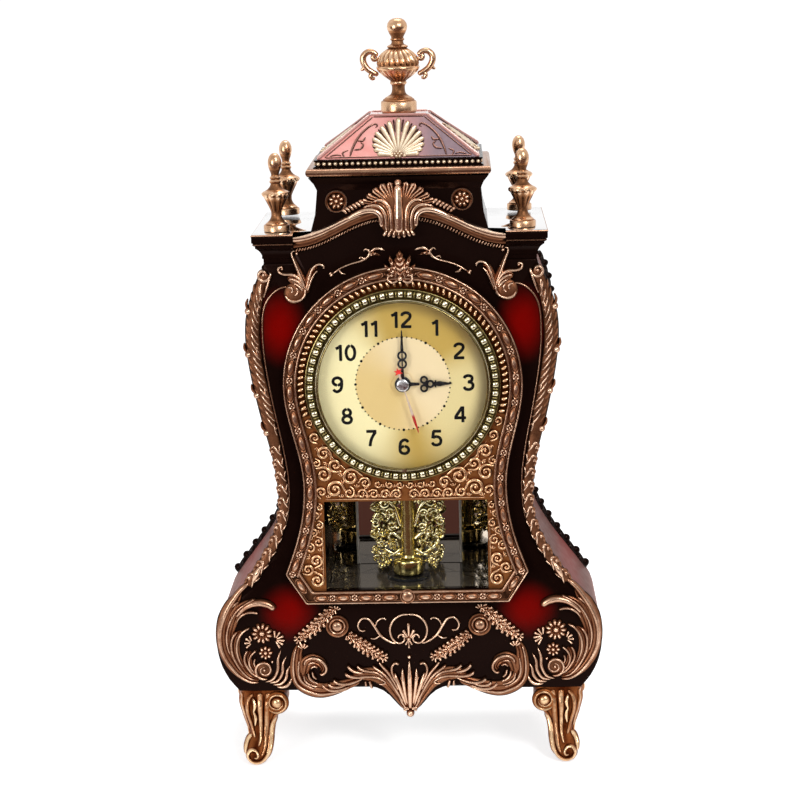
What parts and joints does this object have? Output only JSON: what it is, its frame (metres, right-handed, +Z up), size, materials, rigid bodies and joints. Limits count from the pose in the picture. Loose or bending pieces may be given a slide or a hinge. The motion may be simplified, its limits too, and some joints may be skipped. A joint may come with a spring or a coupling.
{
  "type": "table clock",
  "caption": "Ornate waisted table clock on scrolled feet, with a round dial, a mirrored niche with a turning pendulum, a stepped roof and an urn finial.",
  "frame": {"origin": "on the table under the middle of the case", "axes": "+Z up, the dial faces -Y, +X to the right as seen from the front"},
  "size_m": [0.242, 0.1192, 0.4617],
  "materials": {
    "lacquer": "dark brown lacquer on moulded plastic with deep red glows, glossy",
    "bronze": "moulded relief with antique bronze paint, rubbed bright on the high parts",
    "gold": "warm gold paint on moulded feet, satin",
    "pale_gold": "plated pale gold ring with faceted beads, bright",
    "dial_gold": "satin gold dial sheet with printed numbers",
    "red_gloss": "deep pink red lacquer panels with cream gold scrolls, glossy",
    "mirror": "silvered flat mirror",
    "clear": "clear flat glass",
    "black_enamel": "black painted stamped hands",
    "red_enamel": "red painted stamped hand",
    "steel": "bright metal",
    "nylon": "moulded gears, natural white",
    "black_plastic": "black moulded plastic, fine grain",
    "tile": "dark grey glossy floor with seam lines",
    "brass": "turned brass",
    "copper": "enamelled copper winding",
    "bright_gold": "plated bright gold filigree"
  },
  "bodies": {
    "case": {"apron_mount": "bronze", "attic_box": "lacquer", "attic_cornice": "bronze", "back_cover": "black_plastic", "base_plate": "black_plastic", "battery_cell": "steel", "belly_centre_scroll": "bronze", "belly_scroll_left": "bronze", "belly_scroll_right": "bronze", "bezel": "pale_gold", "corner_finial_front_left": "bronze", "corner_finial_front_right": "bronze", "corner_finial_rear_left": "bronze", "corner_finial_rear_right": "bronze", "dial": "dial_gold", "dial_frame": "bronze", "fixing_nut": "brass", "foot_front_left": "gold", "foot_front_right": "gold", "foot_rear_left": "gold", "foot_rear_right": "gold", "front_panel": "lacquer", "garland_left": "bronze", "garland_right": "bronze", "leaf_trim_front_left": "bronze", "leaf_trim_front_right": "bronze", "leaf_trim_rear_left": "lacquer", "leaf_trim_rear_right": "lacquer", "lens": "clear", "mirror_back": "mirror", "mirror_left": "mirror", "mirror_right": "mirror", "movement_case": "black_plastic", "movement_cover": "black_plastic", "niche_ceiling": "black_plastic", "niche_floor": "tile", "pediment_cartouche": "bronze", "pediment_moulding": "bronze", "pendulum_coil": "copper", "pivot_disc": "black_plastic", "roof": "red_gloss", "shoulder_cornice": "lacquer", "shoulder_scroll_left": "bronze", "shoulder_scroll_right": "bronze", "side_panel_left": "lacquer", "side_panel_right": "lacquer", "step_motor": "copper", "urn_finial": "bronze"},
    "minute": {"minute_hand": "black_enamel", "cannon_pinion": "brass"},
    "hour": {"hour_hand": "black_enamel", "hour_wheel": "nylon"},
    "motion": {"motion_wheel": "nylon", "setting_knob": "black_plastic"},
    "second": {"second_hand": "red_enamel", "second_wheel": "nylon", "centre_cap": "steel"},
    "pendulum_body": {"pendulum": "bright_gold"},
    "door": {"access_door": "black_plastic"}
  },
  "joints": [
    {"name": "minute_spin", "type": "hinge", "parent": "case", "child": "minute", "pos_m": [0, -0.045, 0.2435], "axis": [0, 1, 0], "continuous": true},
    {"name": "hour_spin", "type": "hinge", "parent": "case", "child": "hour", "pos_m": [0, -0.045, 0.2435], "axis": [0, 1, 0], "continuous": true},
    {"name": "motion_spin", "type": "hinge", "parent": "case", "child": "motion", "pos_m": [0, -0.045, 0.2531], "axis": [0, 1, 0], "continuous": true},
    {"name": "second_spin", "type": "hinge", "parent": "case", "child": "second", "pos_m": [0, -0.045, 0.2435], "axis": [0, 1, 0], "continuous": true},
    {"name": "pendulum_turn", "type": "hinge", "parent": "case", "child": "pendulum_body", "pos_m": [0, -0.0205, 0.14], "axis": [0, 0, 1], "continuous": true},
    {"name": "door_swing", "type": "hinge", "parent": "case", "child": "door", "pos_m": [0.035, 0.0519, 0.2435], "axis": [0, 0, -1], "range_deg": [0, 110]}
  ],
  "couplings": [
    {"joint": "hour_spin", "follows": "minute_spin", "ratio": 0.083333},
    {"joint": "motion_spin", "follows": "minute_spin", "ratio": -0.33333}
  ]
}
